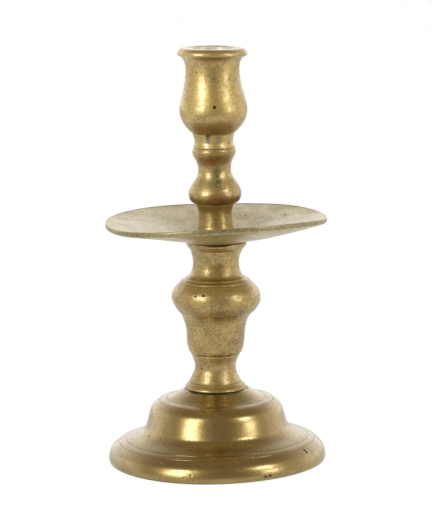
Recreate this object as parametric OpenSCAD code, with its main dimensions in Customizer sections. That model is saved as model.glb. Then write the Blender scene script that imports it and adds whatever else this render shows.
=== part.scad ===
// Collar candlestick in cast and turned brass.
// A hollow bell base, a baluster stem in two halves with the drip pan held
// between them by a screw thread, and a candle socket soldered on top.
// Origin: centre of the foot on the table, +Z up. Unit: millimetre.

/* [Base] */
// Height of the seat of the stem above the table
base_h = 39.8; // [39.2:0.1:44]
// Diameter of the foot at its widest
foot_d = 118.2; // [114:0.2:124]
// Height of the widest level of the foot
foot_belly_h = 2.5; // [1.5:0.1:4]
// Diameter of the outer line turned in the flange, where the rolled edge ends
roll_line_d = 105.7; // [103:0.1:109]
// Height of the flange at that line
roll_line_h = 11.7; // [10.5:0.1:12.3]
// Diameter of the inner line turned in the flange
flange_line_d = 98.7; // [94:0.1:100]
// Height of the flange at that line
flange_line_h = 13.3; // [12.7:0.1:14.2]
// Diameter at the foot of the well, the steep straight side of the bell
well_foot_d = 76.3; // [75:0.1:79]
// Height of the foot of the well
well_foot_h = 20.9; // [20:0.1:22.5]
// Diameter at the top of the well
well_top_d = 72.9; // [71:0.1:74]
// Height of the top of the well
well_top_h = 26.8; // [25:0.1:28]
// Diameter of the line on the shoulder of the bell
shoulder_d = 61.8; // [59:0.1:64]
// Height of the shoulder at that line
shoulder_h = 33.7; // [33:0.1:34.4]
// Diameter of the inner line on the crown
crown_line_d = 53.5; // [50:0.1:56]
// Height of the crown at that line
crown_line_h = 34.7; // [34.5:0.1:36]
// Diameter of the raised ring round the seat
ring_d = 37.6; // [36.8:0.1:42]
// Height of the crown at the foot of that ring
ring_h = 38; // [36.8:0.1:38.6]
// Wall thickness of the casting
base_wall = 2.8; // [2:0.1:3.2]
// Thickness of the crown under the stem
crown_t = 4.2; // [3.6:0.1:5]
// Width of the flat rim that stands on the table
rim_w = 3.2; // [2.4:0.1:4.5]

/* [Screws] */
// Diameter of the screw threads
thread_d = 10; // [9:0.1:10.4]
// Pitch of the screw threads
pitch = 2; // [1.8:0.05:2.2]
// Depth of the screw threads
thread_depth = 0.8; // [0.6:0.05:0.9]
// Radial clearance of the screw threads
thread_gap = 0.12; // [0.1:0.01:0.18]
// Diameter of the plain shank through the crown
shank_d = 10.6; // [10.4:0.1:12]
// Radial clearance round the shank
shank_gap = 0.15; // [0.1:0.01:0.3]
// Diameter of the washer
washer_d = 27; // [24:0.2:30]
// Thickness of the washer
washer_t = 1.6; // [1:0.1:2.4]
// Width of the square nut across its flats
nut_w = 19; // [17:0.2:20]
// Height of the nut
nut_h = 6.5; // [5:0.1:8]
// Length of thread that stands out under the nut
thread_end = 1.8; // [1.4:0.1:3]
// Length of thread under the drip pan
stud_l = 13.4; // [12.4:0.1:14.4]
// Depth that the tapped hole has to spare under the stud
stud_spare = 2.1; // [1.6:0.1:4]

/* [Lower stem] */
// Height of the lower stem from its seat to the drip pan
lower_h = 79.1; // [78.6:0.1:84]
// Diameter of its foot
stem_foot_d = 33.5; // [32:0.1:34]
// Height of the line turned above the foot
foot_line_h = 4.1; // [3:0.1:5]
// Diameter at that line
foot_line_d = 28.2; // [27:0.1:30]
// Diameter of the ankle, the thin place above the foot
ankle_d = 22.3; // [20:0.1:24]
// Height of the ankle
ankle_h = 12; // [11:0.1:13.5]
// Diameter at the line under the vase
vase_foot_d = 26.8; // [25.6:0.1:28]
// Height of that line
vase_foot_h = 19.4; // [18:0.1:20.5]
// Diameter of the vase
vase_d = 32; // [30.6:0.1:33]
// Height at which the vase reaches that diameter
vase_h = 31.5; // [29:0.1:33]
// Diameter at the line under the bulge
bulge_line_d = 42.4; // [40:0.1:44]
// Height of that line
bulge_line_h = 43.7; // [42:0.1:44.8]
// Diameter of the bulge
bulge_d = 47.6; // [46:0.1:52]
// Height of the middle of the bulge
bulge_h = 49.3; // [48.4:0.1:51]
// Diameter at the lower line on top of the bulge
shelf_d = 37.8; // [36:0.1:39]
// Height of that line
shelf_h = 58.9; // [57:0.1:59.6]
// Diameter at the upper line, where the neck begins
neck_foot_d = 33.2; // [31:0.1:34]
// Height of that line
neck_foot_h = 61; // [60.4:0.1:63]
// Diameter of the neck
neck_d = 24.7; // [22:0.1:26.5]
// Height of the thinnest place of the neck
neck_h = 69.4; // [68:0.1:71]
// Diameter at the line under the flared top
flare_line_d = 28.9; // [27.4:0.1:30]
// Height of that line
flare_line_h = 76.4; // [74.5:0.1:77]
// Diameter of the flared top that carries the drip pan
flare_d = 32.6; // [31:0.1:34]

/* [Drip pan] */
// Diameter of the drip pan
pan_d = 121; // [110:0.2:130]
// Diameter of its flat middle
pan_flat_d = 27; // [25:0.2:29]
// Thickness of the flat middle
pan_seat_t = 3.1; // [2.6:0.1:3.6]
// Thickness of the dished wall near the rim
pan_wall = 2.6; // [1.8:0.1:2.8]
// Mean rise of the rim's upper edge above the flat middle
pan_rise = 11.1; // [8:0.1:14]
// How far the bent pan tilts at its rim
pan_tilt = 2; // [0:0.1:3]
// Direction of the high side of the tilt, from +X
pan_tilt_angle = -47; // [-180:1:180]
// How far the rim is bent out of its plane
pan_bend = 1.2; // [0:0.05:1.5]
// Direction of the high sides of the bend, from +X
pan_bend_angle = -68; // [-90:1:90]

/* [Upper stem] */
// Height of the upper stem from the drip pan to the seam of the socket
upper_h = 49.2; // [48.6:0.1:53]
// Diameter of its foot on the drip pan
upper_foot_d = 21; // [19.5:0.1:24]
// Diameter of the shin, the thin place above the foot
shin_d = 17.8; // [16.6:0.1:19]
// Height of the shin
shin_h = 12.2; // [11:0.1:14]
// Diameter at the line under the knop
knop_line_d = 21.6; // [20:0.1:23]
// Height of that line
knop_line_h = 19; // [17:0.1:20]
// Diameter of the knop
knop_d = 28.2; // [27:0.1:31]
// Height of the middle of the knop
knop_h = 24.8; // [23.6:0.1:26]
// Diameter of the throat, the thin place above the knop
throat_d = 17.7; // [16.4:0.1:19]
// Height of the throat
throat_h = 36.8; // [35:0.1:38.6]
// Diameter of the bead at the top
bead_d = 23; // [22.4:0.1:25]
// Height of the middle of the bead
bead_h = 47.3; // [46:0.1:47.8]
// Diameter of the spigot that centres the drip pan
spigot_d = 13; // [12.4:0.1:15]
// Radial clearance between the spigot and the drip pan
spigot_gap = 0.05; // [0.02:0.01:0.09]
// Gap between the end of the spigot and the lower stem
spigot_end_gap = 0.3; // [0.2:0.05:0.6]

/* [Candle socket] */
// Height of the candle socket from its seam to the lip
socket_h = 53.3; // [52.8:0.1:58]
// Diameter at the seam
seam_d = 21.9; // [21.4:0.1:22.2]
// Diameter of the waist under the cup
waist_d = 20.3; // [19:0.1:21]
// Height of the waist above the seam
waist_h = 3.4; // [2.6:0.1:4.2]
// Diameter at the corner under the cup
cup_foot_d = 21.9; // [21.2:0.1:23]
// Height of that corner
cup_foot_h = 7; // [6:0.1:8]
// Diameter of the cup at its belly
cup_d = 36.4; // [34.6:0.1:39]
// Height of the belly
cup_h = 19.6; // [18.4:0.1:21]
// Diameter of the narrow upper part of the cup
cup_neck_d = 28.5; // [27.8:0.1:30]
// Height of that narrow part
cup_neck_h = 41.2; // [39:0.1:43]
// Diameter of the lip
lip_d = 37.2; // [35:0.1:40]
// Height of the bead of the lip, measured down from the top
lip_h = 3.8; // [3.2:0.1:4.6]
// Diameter of the flat top of the lip
lip_top_d = 33.2; // [30:0.1:34]
// Diameter of the candle bore
candle_d = 22.5; // [20:0.1:24]
// Depth of the candle bore
candle_depth = 37; // [34:0.1:38.5]
// Chamfer round the mouth of the bore
mouth_chamfer = 0.8; // [0.4:0.1:1.2]
// Diameter of the small hole through the cup
stub_hole_d = 1.7; // [1.2:0.1:4]
// Height of the small hole above the bottom of the bore
stub_hole_h = 8; // [5:0.1:12]
// Direction of the small hole, from +X
stub_hole_angle = -86; // [-180:1:180]
// Diameter of the tenon in the socket
tenon_d = 12.6; // [11:0.1:13.4]
// Length of that tenon
tenon_l = 9; // [7:0.1:9.6]
// Gap round the tenon, filled by the solder
solder_gap = 0.05; // [0.03:0.01:0.1]

/* [Turned lines] */
// Width of a line cut with the lathe tool
line_w = 0.7; // [0.4:0.05:0.8]
// Depth of such a line
line_t = 0.35; // [0.2:0.05:0.4]

/* [Hidden] */
$fn = 96;

// Levels at which the pieces meet
pan_z = base_h + lower_h;
upper_z = pan_z + pan_seat_t;
socket_z = upper_z + upper_h;
top_z = socket_z + socket_h;
crown_under_z = base_h - crown_t;
nut_top_z = crown_under_z - washer_t;
nut_under_z = nut_top_z - nut_h;
lower_end_z = nut_under_z - thread_end;
upper_end_z = pan_z - stud_l;
bore_z = top_z - candle_depth;

// Screw threads: core of the screw, core of the hole, chamfer at an end
screw_r = thread_d / 2 - thread_depth;
screw_hole_r = screw_r + thread_gap;
end_chamfer = 0.6;
// plain stretch between the thread and a shoulder or an end
run_out = 1;
// half the height of the ridge at its root and at its crest
ridge_root = 0.34 * pitch;
ridge_crest = 0.09 * pitch;
// steps to a turn, and the depth that the ridge is sunk in its core
ridge_steps = 24;
ridge_sink = 0.25;
// how far a cutter passes the face that it cuts
over = 1;
// change of radius with height where the lines on the stem's foot and bulge are cut
foot_slope = -0.7;
shelf_slope = -1;
// height from the throat of the lip's flare to its bead, and of the bead's widest level
lip_flare_h = 3.2;
lip_bead_h = 1.2;
// corner broken at the bottom of the base, at the foot of each stem and at the flared top
edge = 0.6;
// gap over the end of the tenon, and depth of the cone that a drill leaves
tenon_end_gap = 0.4;
drill_point = 1.5;
// width of the nut over its turned corners, as a share of its width over the flats
nut_corner = 1.28;
// slope at which the well's dome comes up to the shoulder
dome_end_slope = 0.74;
// how firmly the bell's curves keep to their directions: the cove at the flange and
// at the well, the dome at the well and at the shoulder
cove_hold = [0.33, 0.38];
dome_hold = [0.58, 0.29];
// facets round the drip pan, and points from its middle to its rim
pan_steps = 72;
dish_steps = 8;
// curve of the dish, share of its rise that comes from the turned-up edge,
// share of the way to the rim at which that edge begins, and curve of the bend
pan_curve = 0.92;
pan_edge_rise = 0.09;
pan_edge_from = 0.72;
pan_bend_curve = 2.6;

base_colour = [0.45, 0.37, 0.22];
stem_colour = [0.60, 0.50, 0.29];
pan_colour = [0.66, 0.61, 0.50];
socket_colour = [0.66, 0.56, 0.34];
nut_colour = [0.42, 0.35, 0.20];

// Outlines are lists of [radius, height]. Each curve below gives its points
// from a up to, but not with, b, so that the next curve begins there.

// upright at both ends, as from a hollow to a swelling
function ogee(a, b, lean = 1, n = 10) = [
  for (i = [0 : n - 1]) let (t = i / n)
    [a[0] + (b[0] - a[0]) * (1 - cos(180 * pow(t, lean))) / 2, a[1] + (b[1] - a[1]) * t]
];

// upright at a, aslant at b
function leave(a, b, lean = 1, n = 8) = [
  for (i = [0 : n - 1]) let (t = i / n)
    [a[0] + (b[0] - a[0]) * (1 - cos(90 * pow(t, lean))), a[1] + (b[1] - a[1]) * t]
];

// aslant at a, upright at b
function arrive(a, b, lean = 1, n = 8) = [
  for (i = [0 : n - 1]) let (t = i / n)
    [a[0] + (b[0] - a[0]) * sin(90 * pow(t, lean)), a[1] + (b[1] - a[1]) * t]
];

// a quarter of an ellipse that starts level and ends upright
function round_up(a, b, n = 6) = [
  for (i = [0 : n - 1]) let (t = 90 * i / n)
    [a[0] + (b[0] - a[0]) * sin(t), b[1] + (a[1] - b[1]) * cos(t)]
];

// a quarter of an ellipse that starts upright and ends level
function round_in(a, b, n = 6) = [
  for (i = [0 : n - 1]) let (t = 90 * i / n)
    [b[0] + (a[0] - b[0]) * cos(t), a[1] + (b[1] - a[1]) * sin(t)]
];

// from a in the direction out to b in the direction in; hold gives the share of
// the distance over which each end keeps to its direction
function sweep(a, out, b, in, hold, n = 10) = let (
    l = norm(b - a),
    p = a + l * hold[0] * out / norm(out),
    q = b - l * hold[1] * in / norm(in)
  ) [
    for (i = [0 : n - 1]) let (t = i / n, u = 1 - t)
      pow(u, 3) * a + 3 * u * u * t * p + 3 * u * t * t * q + pow(t, 3) * b
  ];

// a line cut at p, in a steep face whose radius grows by slope for each unit of height
function steep_cut(p, slope = 0) = [
  [p[0] - slope * line_w / 2, p[1] - line_w / 2],
  [p[0] - line_t, p[1]],
  [p[0] + slope * line_w / 2, p[1] + line_w / 2]
];

// a line cut at p, in a nearly level face that rises inwards
function level_cut(p, rise) = [
  [p[0] + line_w / 2, p[1] - rise * line_w / 2],
  [p[0], p[1] - line_t],
  [p[0] - line_w / 2, p[1] + rise * line_w / 2]
];

// the same outline moved by t to its left
function inset(path, t) = [
  for (i = [1 : len(path) - 2]) let (d = path[i + 1] - path[i - 1])
    path[i] + t * [-d[1], d[0]] / norm(d)
];

// A screw thread as one ridge along a helix, tapered away at both ends.
// It starts at height z, and gap makes it wider all round, to cut a hole's thread.
module thread_ridge(z, length, gap = 0) {
  steps = ceil(ridge_steps * length / pitch);
  root_r = screw_r + gap;
  function grown(i) = max(0.03, min(1, 2 * i / ridge_steps, 2 * (steps - i) / ridge_steps));
  function section(i) = [
    [root_r - ridge_sink, -ridge_root - gap],
    [root_r + thread_depth * grown(i), -ridge_crest - gap],
    [root_r + thread_depth * grown(i), ridge_crest + gap],
    [root_r - ridge_sink, ridge_root + gap]
  ];
  points = [
    for (i = [0 : steps], p = section(i)) let (turn = 360 * i / ridge_steps)
      [p[0] * cos(turn), p[0] * sin(turn), z + p[1] + pitch * i / ridge_steps]
  ];
  sides = [
    for (i = [0 : steps - 1], k = [0 : 3]) let (a = 4 * i + k, b = 4 * i + (k + 1) % 4)
      each [[a, b + 4, a + 4], [a, b, b + 4]]
  ];
  last = 4 * steps;
  polyhedron(points, concat([[3, 2, 1, 0]], sides, [[last, last + 1, last + 2, last + 3]]), convexity = 10);
}

// The base: a bell turned outside and left as cast inside
roll_line = [roll_line_d / 2, roll_line_h];
flange_line = [flange_line_d / 2, flange_line_h];
shoulder_line = [shoulder_d / 2, shoulder_h];
crown_line = [crown_line_d / 2, crown_line_h];
foot_belly = [foot_d / 2, foot_belly_h];
well_foot = [well_foot_d / 2, well_foot_h];
well_top = [well_top_d / 2, well_top_h];
flange_rise = (flange_line_h - roll_line_h) / (roll_line[0] - flange_line[0]);
crown_rise = (crown_line_h - shoulder_h) / (shoulder_line[0] - crown_line[0]);
flange_run = [-1, flange_rise];
well_run = well_top - well_foot;
dome_end_run = [-1, dome_end_slope];

function bell(lines) = concat(
  leave(foot_belly, roll_line, 1.5, 10),
  lines ? level_cut(roll_line, flange_rise) : [roll_line],
  lines ? level_cut(flange_line, flange_rise) : [],
  sweep(flange_line + line_w * flange_run, flange_run, well_foot, well_run, cove_hold, 10),
  sweep(well_top, well_run, shoulder_line - line_w * dome_end_run, dome_end_run, dome_hold, 12),
  lines ? level_cut(shoulder_line, crown_rise) : [shoulder_line],
  lines ? level_cut(crown_line, crown_rise) : [crown_line]
);

module base() {
  rim_r = foot_d / 2 - edge;
  hole_r = shank_d / 2 + shank_gap;
  ring_top_r = ring_d / 2 - (base_h - ring_h);
  outside = concat(
    round_up([rim_r, 0], foot_belly, 4),
    bell(true),
    arrive(crown_line + [-line_w, crown_rise * line_w], [ring_d / 2, ring_h], 1, 6),
    [[ring_d / 2, ring_h]],
    round_in([ring_d / 2 - line_t / 2, ring_h + line_t / 2], [ring_top_r, base_h], 4),
    [[ring_top_r, base_h], [hole_r, base_h]]
  );
  wall = inset(bell(false), base_wall);
  inside = concat([[rim_r - rim_w, 0], [rim_r - rim_w, foot_belly_h]], wall, [[ring_top_r, crown_under_z]]);
  color(base_colour)
    rotate_extrude($fn = 180)
      polygon(concat(outside, [[hole_r, crown_under_z]], [for (i = [len(inside) - 1 : -1 : 0]) inside[i]]));
}

// A plain disc with a hole, pressed on the crown by the nut
module base_washer() {
  color(nut_colour)
    translate([0, 0, nut_top_z])
      difference() {
        cylinder(h = washer_t, d = washer_d);
        translate([0, 0, -over]) cylinder(h = washer_t + 2 * over, r = shank_d / 2 + shank_gap);
      }
}

// A square nut with its corners turned down, on the thread of the lower stem
module base_nut() {
  corner_d = nut_corner * nut_w;
  hole_l = nut_h + 2 * over;
  ridge_z = lower_end_z + run_out - pitch;
  color(nut_colour)
    difference() {
      translate([0, 0, nut_under_z])
        intersection() {
          translate([-nut_w / 2, -nut_w / 2, 0]) cube([nut_w, nut_w, nut_h]);
          cylinder(h = nut_h, d = corner_d);
        }
      translate([0, 0, nut_under_z - over]) cylinder(h = hole_l, r = screw_hole_r);
      thread_ridge(ridge_z, nut_top_z - ridge_z + pitch, thread_gap);
    }
}

// The lower stem: one solid casting, tapped above and with a threaded tenon below
module lower_stem() {
  foot = [stem_foot_d / 2, edge];
  foot_line = [foot_line_d / 2, foot_line_h];
  ankle = [ankle_d / 2, ankle_h];
  vase_foot = [vase_foot_d / 2, vase_foot_h];
  vase = [vase_d / 2, vase_h];
  bulge_line = [bulge_line_d / 2, bulge_line_h];
  bulge = [bulge_d / 2, bulge_h];
  shelf = [shelf_d / 2, shelf_h];
  neck_foot = [neck_foot_d / 2, neck_foot_h];
  neck = [neck_d / 2, neck_h];
  flare_line = [flare_line_d / 2, flare_line_h];
  flare = [flare_d / 2, lower_h - edge / 2];
  hole_depth = stud_l + stud_spare;
  turned = concat(
    [[foot[0] - edge / 2, 0]],
    leave(foot, foot_line + [line_w / 2, -line_w / 2], 1, 6),
    steep_cut(foot_line, foot_slope),
    arrive(foot_line + [foot_slope * line_w, line_w], ankle, 0.95, 9),
    leave(ankle, vase_foot - [line_t, line_w], 1, 8),
    [vase_foot - [line_t, line_w], vase_foot - [2 * line_t, 0]],
    arrive(vase_foot, vase, 0.62, 10),
    leave(vase, bulge_line - [line_t, line_w / 2], 1.25, 12),
    [bulge_line - [line_t, line_w / 2]],
    arrive(bulge_line, bulge, 1, 8),
    leave(bulge, shelf + [line_w / 2, -line_w / 2], 1.2, 10),
    steep_cut(shelf, shelf_slope),
    leave(shelf + [-line_w, line_w], neck_foot - [0, line_w / 2], 0.8, 4),
    [neck_foot - [0, line_w / 2], neck_foot - [2 * line_t, 0]],
    arrive(neck_foot - [line_t, -line_w / 2], neck, 0.6, 10),
    leave(neck, flare_line - [line_t, line_w / 2], 1, 8),
    [flare_line - [line_t, line_w / 2], flare_line - [line_t, 0]],
    arrive(flare_line + [0, line_w / 2], flare, 1.2, 5),
    [flare, [flare[0] - edge / 2, lower_h]]
  );
  outline = concat(
    [
      [0, lower_end_z],
      [screw_r - end_chamfer, lower_end_z],
      [screw_r, lower_end_z + end_chamfer],
      [screw_r, nut_top_z],
      [shank_d / 2, nut_top_z],
      [shank_d / 2, base_h]
    ],
    [for (p = turned) [p[0], base_h + p[1]]],
    [
      [screw_hole_r + end_chamfer, pan_z],
      [screw_hole_r, pan_z - end_chamfer],
      [screw_hole_r, pan_z - hole_depth],
      [0, pan_z - hole_depth - drill_point]
    ]
  );
  tail_z = lower_end_z + run_out;
  groove_z = upper_end_z + run_out - pitch;
  color(stem_colour)
    difference() {
      union() {
        rotate_extrude() polygon(outline);
        thread_ridge(tail_z, nut_top_z - tail_z - ridge_root);
      }
      thread_ridge(groove_z, pan_z - groove_z + pitch, thread_gap);
    }
}

// The drip pan: a dished disc, thick in its flat middle, bent a little out of
// its plane. Its upper and lower sides are rings of points from the middle out.
function pan_share(r) = max(0, (r - pan_flat_d / 2) / (pan_d / 2 - pan_flat_d / 2));
function pan_lift(r) = let (s = pan_share(r), turned = max(0, s - pan_edge_from) / (1 - pan_edge_from))
  pan_rise * ((1 - pan_edge_rise) * pow(s, pan_curve) + pan_edge_rise * turned * turned);
function pan_warp(r, a) = pow(pan_share(r), pan_bend_curve)
  * (pan_tilt * cos(a - pan_tilt_angle) + pan_bend * cos(2 * (a - pan_bend_angle)));
// the seat thins to the wall over the first third of the dish
function pan_t(r) = pan_seat_t - (pan_seat_t - pan_wall) * min(1, 3 * pan_share(r));

module drip_pan() {
  flat_r = pan_flat_d / 2;
  rim_r = pan_d / 2;
  rim_round = pan_wall / 4;
  rim_top = pan_seat_t + pan_lift(rim_r);
  dish_r = [for (i = [1 : dish_steps]) flat_r + (rim_r - rim_round - flat_r) * i / dish_steps];
  profile = concat(
    [[flat_r, 0]],
    [for (r = dish_r) [r, pan_seat_t + pan_lift(r) - pan_t(r)]],
    [[rim_r, rim_top - pan_wall + rim_round], [rim_r, rim_top - rim_round]],
    [for (i = [dish_steps - 1 : -1 : 0]) [dish_r[i], pan_seat_t + pan_lift(dish_r[i])]],
    [[flat_r, pan_seat_t]]
  );
  rings = len(profile);
  points = concat(
    [[0, 0, 0], [0, 0, pan_seat_t]],
    [
      for (p = profile, k = [0 : pan_steps - 1]) let (a = 360 * k / pan_steps)
        [p[0] * cos(a), p[0] * sin(a), p[1] + pan_warp(p[0], a)]
    ]
  );
  function at(ring, k) = 2 + ring * pan_steps + k % pan_steps;
  sides = [
    for (j = [0 : rings - 2], k = [0 : pan_steps - 1])
      each [[at(j, k), at(j + 1, k), at(j + 1, k + 1)], [at(j, k), at(j + 1, k + 1), at(j, k + 1)]]
  ];
  middle = [
    for (k = [0 : pan_steps - 1])
      each [[0, at(0, k), at(0, k + 1)], [1, at(rings - 1, k + 1), at(rings - 1, k)]]
  ];
  color(pan_colour)
    difference() {
      translate([0, 0, pan_z]) polyhedron(points, concat(sides, middle), convexity = 6);
      translate([0, 0, pan_z - over]) cylinder(h = pan_seat_t + 2 * over, r = spigot_d / 2 + spigot_gap);
    }
}

// The upper stem: one solid casting, with the spigot and stud below and a tenon above
module upper_stem() {
  foot = [upper_foot_d / 2, 0];
  shin = [shin_d / 2, shin_h];
  knop_line = [knop_line_d / 2, knop_line_h];
  knop = [knop_d / 2, knop_h];
  throat = [throat_d / 2, throat_h];
  bead = [bead_d / 2, bead_h];
  seam = [seam_d / 2, upper_h];
  turned = concat(
    [foot],
    arrive(foot + [0, edge], shin, 1, 8),
    leave(shin, knop_line - [line_t, line_w / 2], 1.4, 8),
    [knop_line - [line_t, line_w / 2], knop_line - [line_t, 0]],
    round_up(knop_line + [line_t, line_w / 2], knop, 8),
    ogee(knop, throat, 1, 14),
    ogee(throat, bead, 1.4, 12),
    leave(bead, seam - [0, line_w / 2], 1, 4),
    [seam - [0, line_w / 2], seam - [line_t, 0]]
  );
  spigot_z = pan_z + spigot_end_gap;
  outline = concat(
    [
      [0, upper_end_z],
      [screw_r - end_chamfer, upper_end_z],
      [screw_r, upper_end_z + end_chamfer],
      [screw_r, spigot_z],
      [spigot_d / 2, spigot_z],
      [spigot_d / 2, upper_z]
    ],
    [for (p = turned) [p[0], upper_z + p[1]]],
    [
      [tenon_d / 2, socket_z],
      [tenon_d / 2, socket_z + tenon_l],
      [0, socket_z + tenon_l]
    ]
  );
  thread_z = upper_end_z + run_out;
  color(stem_colour)
    union() {
      rotate_extrude() polygon(outline);
      thread_ridge(thread_z, pan_z - run_out - thread_z);
    }
}

// The candle socket: cup and waist in one, bored for the candle and for the tenon
module candle_socket() {
  seam = [seam_d / 2, line_w / 2];
  waist = [waist_d / 2, waist_h];
  cup_foot = [cup_foot_d / 2, cup_foot_h];
  cup = [cup_d / 2, cup_h];
  cup_neck = [cup_neck_d / 2, cup_neck_h];
  lip_foot = [cup_neck_d / 2 + line_w, socket_h - lip_h - lip_flare_h];
  lip_under = [lip_d / 2 - line_t, socket_h - lip_h];
  lip = [lip_d / 2, socket_h - lip_h + lip_bead_h];
  lip_top = [lip_top_d / 2, socket_h];
  turned = concat(
    [seam - [line_t, line_w / 2]],
    ogee(seam, waist, 1, 5),
    leave(waist, cup_foot, 1, 6),
    arrive(cup_foot, cup, 0.92, 12),
    ogee(cup, cup_neck, 0.8, 14),
    leave(cup_neck, lip_foot, 1, 5),
    leave(lip_foot, lip_under, 1, 6),
    arrive(lip_under, lip, 1, 3),
    round_in(lip, lip_top, 6),
    [lip_top]
  );
  mouth_r = candle_d / 2;
  mortise_r = tenon_d / 2 + solder_gap;
  mortise_z = socket_z + tenon_l + tenon_end_gap;
  outline = concat(
    [for (p = turned) [p[0], socket_z + p[1]]],
    [
      [mouth_r + mouth_chamfer, top_z],
      [mouth_r, top_z - mouth_chamfer],
      [mouth_r, bore_z],
      [0, bore_z],
      [0, mortise_z],
      [mortise_r, mortise_z],
      [mortise_r, socket_z]
    ]
  );
  color(socket_colour)
    difference() {
      rotate_extrude() polygon(outline);
      translate([0, 0, bore_z + stub_hole_h])
        rotate([0, 90, stub_hole_angle])
          cylinder(h = cup_d, d = stub_hole_d, $fn = 32);
    }
}

base();
base_washer();
base_nut();
lower_stem();
drip_pan();
upper_stem();
candle_socket();
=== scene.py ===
import math

import bmesh
import bpy
from mathutils import Matrix, Vector, noise
from mathutils.bvhtree import BVHTree
from mathutils.kdtree import KDTree


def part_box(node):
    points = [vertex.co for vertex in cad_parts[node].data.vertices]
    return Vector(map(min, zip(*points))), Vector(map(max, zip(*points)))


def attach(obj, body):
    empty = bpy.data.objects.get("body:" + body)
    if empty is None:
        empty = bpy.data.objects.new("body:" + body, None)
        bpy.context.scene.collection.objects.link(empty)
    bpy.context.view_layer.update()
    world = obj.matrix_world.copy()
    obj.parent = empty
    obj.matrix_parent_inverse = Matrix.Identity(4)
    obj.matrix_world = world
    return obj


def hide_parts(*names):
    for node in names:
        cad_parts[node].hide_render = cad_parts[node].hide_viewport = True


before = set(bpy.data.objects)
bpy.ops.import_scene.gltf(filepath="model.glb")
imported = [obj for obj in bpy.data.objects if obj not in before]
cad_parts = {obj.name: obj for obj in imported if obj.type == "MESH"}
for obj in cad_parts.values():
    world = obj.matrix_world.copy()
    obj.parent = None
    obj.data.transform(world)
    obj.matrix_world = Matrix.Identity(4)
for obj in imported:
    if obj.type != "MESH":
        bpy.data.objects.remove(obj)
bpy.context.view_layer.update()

# The camera stands 1.37 m in front of the candlestick with a long lens. It looks
# nine degrees down, and it is turned by less than a degree about its own axis.
MM = 0.001
CAMERA_BACK = 1372.27
CAMERA_HEIGHT = 338.68
LOOKS_DOWN = 9.4088
LENS_TURN = -0.772
camera = bpy.data.objects.new("camera", bpy.data.cameras.new("camera"))
bpy.context.scene.collection.objects.link(camera)
bpy.context.scene.camera = camera
camera.data.sensor_width = 36
camera.data.lens = 180.35
camera.data.shift_x = 0.9 / 515
camera.data.clip_start = 0.1
camera.matrix_world = (
    Matrix.Translation((0, -CAMERA_BACK * MM, CAMERA_HEIGHT * MM))
    @ Matrix.Rotation(math.radians(90 - LOOKS_DOWN), 4, "X")
    @ Matrix.Rotation(math.radians(LENS_TURN), 4, "Z")
)


# The base is a hollow bell, cast in brass and turned outside: a rolled foot, a
# flange with two cut lines, a deep well and a crown that carries the stem. The
# inside is left as cast. The foot has been bent up a little at its front right.
POINT_GAP = 0.55
BELL_STEPS = 288
WALL = 2.8
CROWN_T = 4.2
RIM_W = 3.2
FOOT_BELLY_Z = 2.5
LINE_DEEP = 0.18
LINE_REACH = 0.13
seat_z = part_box("base")[1].z / MM
foot_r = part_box("base")[1].x / MM


def count_between(a, b):
    return max(3, math.ceil(math.dist(a, b) / POINT_GAP))


def ogee(a, b, lean=1.0):
    """Upright at both ends, as from a hollow to a swelling; b itself is left out."""
    n = count_between(a, b)
    shares = [i / n for i in range(n)]
    return [
        (a[0] + (b[0] - a[0]) * (1 - math.cos(math.pi * t**lean)) / 2, a[1] + (b[1] - a[1]) * t)
        for t in shares
    ]


def leave(a, b, lean=1.0):
    """Upright at a, aslant at b."""
    n = count_between(a, b)
    shares = [i / n for i in range(n)]
    return [
        (a[0] + (b[0] - a[0]) * (1 - math.cos(math.pi / 2 * t**lean)), a[1] + (b[1] - a[1]) * t)
        for t in shares
    ]


def arrive(a, b, lean=1.0):
    """Aslant at a, upright at b."""
    n = count_between(a, b)
    shares = [i / n for i in range(n)]
    return [
        (a[0] + (b[0] - a[0]) * math.sin(math.pi / 2 * t**lean), a[1] + (b[1] - a[1]) * t)
        for t in shares
    ]


def round_up(a, b):
    """A quarter of an ellipse that starts level and ends upright."""
    n = count_between(a, b)
    turns = [math.pi / 2 * i / n for i in range(n)]
    return [
        (a[0] + (b[0] - a[0]) * math.sin(t), b[1] + (a[1] - b[1]) * math.cos(t)) for t in turns
    ]


def round_in(a, b):
    """A quarter of an ellipse that starts upright and ends level."""
    n = count_between(a, b)
    turns = [math.pi / 2 * i / n for i in range(n)]
    return [
        (b[0] + (a[0] - b[0]) * math.cos(t), a[1] + (b[1] - a[1]) * math.sin(t)) for t in turns
    ]


def sweep(a, out, b, into, hold):
    """From a in the direction out to b in the direction into; hold gives the share of
    the distance over which each end keeps to its direction."""
    n = count_between(a, b)
    a, b = Vector(a), Vector(b)
    length = (b - a).length
    after = a + Vector(out).normalized() * length * hold[0]
    before = b - Vector(into).normalized() * length * hold[1]
    shares = [(i / n, 1 - i / n) for i in range(n)]
    curve = [a * u**3 + after * 3 * u * u * t + before * 3 * u * t * t + b * t**3 for t, u in shares]
    return [tuple(p) for p in curve]


def cut_line(p, along, width=0.7, depth=0.35):
    """A line cut with a pointed tool at p, where the outline runs in the direction along."""
    length = math.hypot(*along)
    run = (along[0] / length, along[1] / length)
    shape = ((-0.5, 0), (-0.3, 0.12), (-0.14, 0.7), (0, 1), (0.14, 0.7), (0.3, 0.12), (0.5, 0))
    return [
        (
            p[0] + s * width * run[0] - d * depth * run[1],
            p[1] + s * width * run[1] + d * depth * run[0],
        )
        for s, d in shape
    ]


def inset(outline, thickness):
    """The outline moved by the thickness of the wall to its left."""
    moved = []
    for before, p, after in zip(outline, outline[1:], outline[2:]):
        run = (Vector(after) - Vector(before)).normalized()
        moved.append((p[0] - thickness * run.y, p[1] + thickness * run.x))
    return moved


def raised(points, z):
    return [(r, h + z) for r, h in points]


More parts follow.
